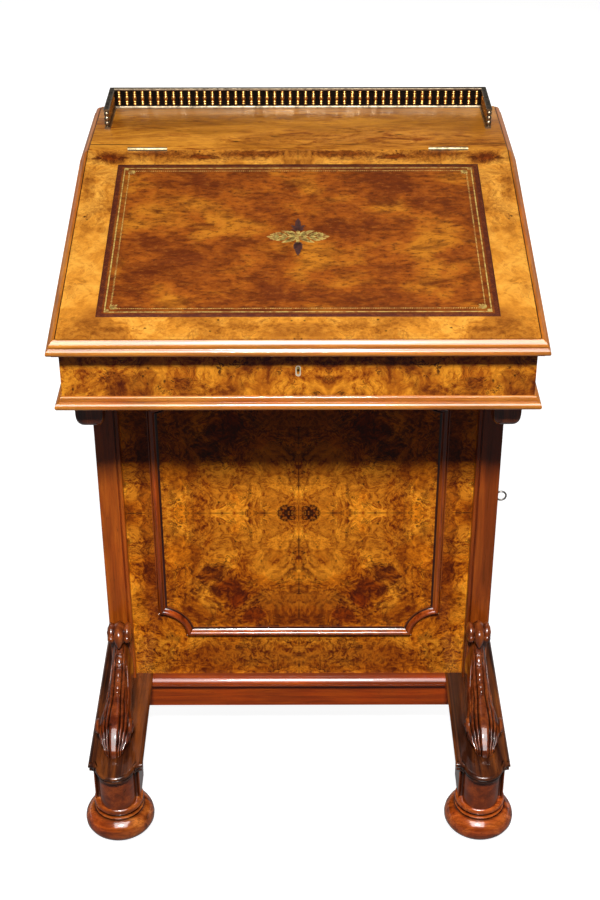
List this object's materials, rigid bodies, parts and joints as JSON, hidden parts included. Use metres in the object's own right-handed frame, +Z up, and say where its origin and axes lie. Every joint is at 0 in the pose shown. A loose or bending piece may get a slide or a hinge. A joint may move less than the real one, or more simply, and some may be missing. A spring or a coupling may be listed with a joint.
{
  "type": "davenport desk",
  "caption": "Davenport writing desk: sloping leather-topped lid over a writing box on a panelled pedestal, with a side cupboard, scroll brackets, sled feet and a low brass gallery.",
  "frame": {"origin": "on the floor, at the middle of the desk's width and depth", "axes": "+Z up, +X towards the desk's right-hand side, -Y towards the sitter"},
  "size_m": [0.576, 0.594, 0.8465],
  "materials": {
    "burr_walnut": "French-polished burr walnut veneer, mottled brown with dark eyes",
    "walnut": "polished solid walnut, darker than the veneer, with soft highlights on its mouldings",
    "lining_wood": "plain mahogany, lightly polished",
    "leather": "aged tan hide with a dark tooled border and gilt lines",
    "brass": "old lacquered brass, slightly dulled",
    "steel": "filed steel, darkened with age"
  },
  "bodies": {
    "desk": {"back_panel": "burr_walnut", "back_panel_moulding": "walnut", "box_back": "burr_walnut", "box_base_moulding": "walnut", "box_bearer_left": "walnut", "box_bearer_right": "walnut", "box_bottom": "lining_wood", "box_escutcheon": "brass", "box_front": "burr_walnut", "box_lock": "brass", "box_side_left": "burr_walnut", "box_side_right": "burr_walnut", "bun_foot_front_left": "walnut", "bun_foot_front_right": "walnut", "bun_foot_rear_left": "walnut", "bun_foot_rear_right": "walnut", "cupboard_floor": "lining_wood", "cupboard_shelf_lower": "lining_wood", "cupboard_shelf_upper": "lining_wood", "door_hinge_fixed_leaves": "brass", "drawer_case": "lining_wood", "front_panel": "burr_walnut", "front_panel_moulding": "walnut", "front_rail": "walnut", "front_rail_moulding": "walnut", "front_upright_left": "walnut", "front_upright_right": "walnut", "gallery_base": "brass", "gallery_rail": "brass", "gallery_spindles": "brass", "hinge_pins": "steel", "left_panel_moulding": "walnut", "left_side_panel": "burr_walnut", "lid_hinge_fixed_leaves": "brass", "rear_rail": "walnut", "rear_upright_left": "walnut", "rear_upright_right": "walnut", "scroll_bracket_left": "walnut", "scroll_bracket_right": "walnut", "sled_left": "walnut", "sled_right": "walnut", "top_board": "burr_walnut", "top_board_moulding": "walnut"},
    "lid": {"lid_board": "burr_walnut", "lid_moulding": "walnut", "lid_leather": "leather", "lid_strike_plate": "brass", "lid_hinge_moving_leaves": "brass"},
    "side_door": {"side_door": "burr_walnut", "side_door_moulding": "walnut", "door_hinge_moving_leaves": "brass", "door_lock": "brass", "door_escutcheon": "brass"},
    "door_key": {"door_key": "steel"},
    "door_lock_bolt": {"door_lock_bolt": "steel"},
    "box_lock_bolt": {"box_lock_bolt": "steel"},
    "inner_drawer_left": {"inner_drawer_left": "lining_wood", "inner_drawer_knob_left": "walnut"},
    "inner_drawer_right": {"inner_drawer_right": "lining_wood", "inner_drawer_knob_right": "walnut"}
  },
  "joints": [
    {"name": "lid_hinge", "type": "hinge", "parent": "desk", "child": "lid", "pos_m": [0, 0.122, 0.8198], "axis": [-1, 0, 0], "range_deg": [0, 100]},
    {"name": "side_door_hinge", "type": "hinge", "parent": "desk", "child": "side_door", "pos_m": [0.2625, 0.2624, 0.3615], "axis": [0, 0, 1], "range_deg": [0, 115]},
    {"name": "door_key_turn", "type": "hinge", "parent": "side_door", "child": "door_key", "pos_m": [0.261, -0.0508, 0.398], "axis": [1, 0, 0], "range_deg": [0, 180]},
    {"name": "door_bolt_slide", "type": "slide", "parent": "side_door", "child": "door_lock_bolt", "axis": [0, -1, 0], "range_m": [0, 0.006]},
    {"name": "box_bolt_slide", "type": "slide", "parent": "desk", "child": "box_lock_bolt", "axis": [0, 0, 1], "range_m": [0, 0.005]},
    {"name": "left_drawer_slide", "type": "slide", "parent": "desk", "child": "inner_drawer_left", "axis": [0, -1, 0], "range_m": [0, 0.11]},
    {"name": "right_drawer_slide", "type": "slide", "parent": "desk", "child": "inner_drawer_right", "axis": [0, -1, 0], "range_m": [0, 0.11]}
  ],
  "couplings": [
    {"joint": "door_key_turn", "follows": "door_bolt_slide", "rad_per_m": 523}
  ]
}
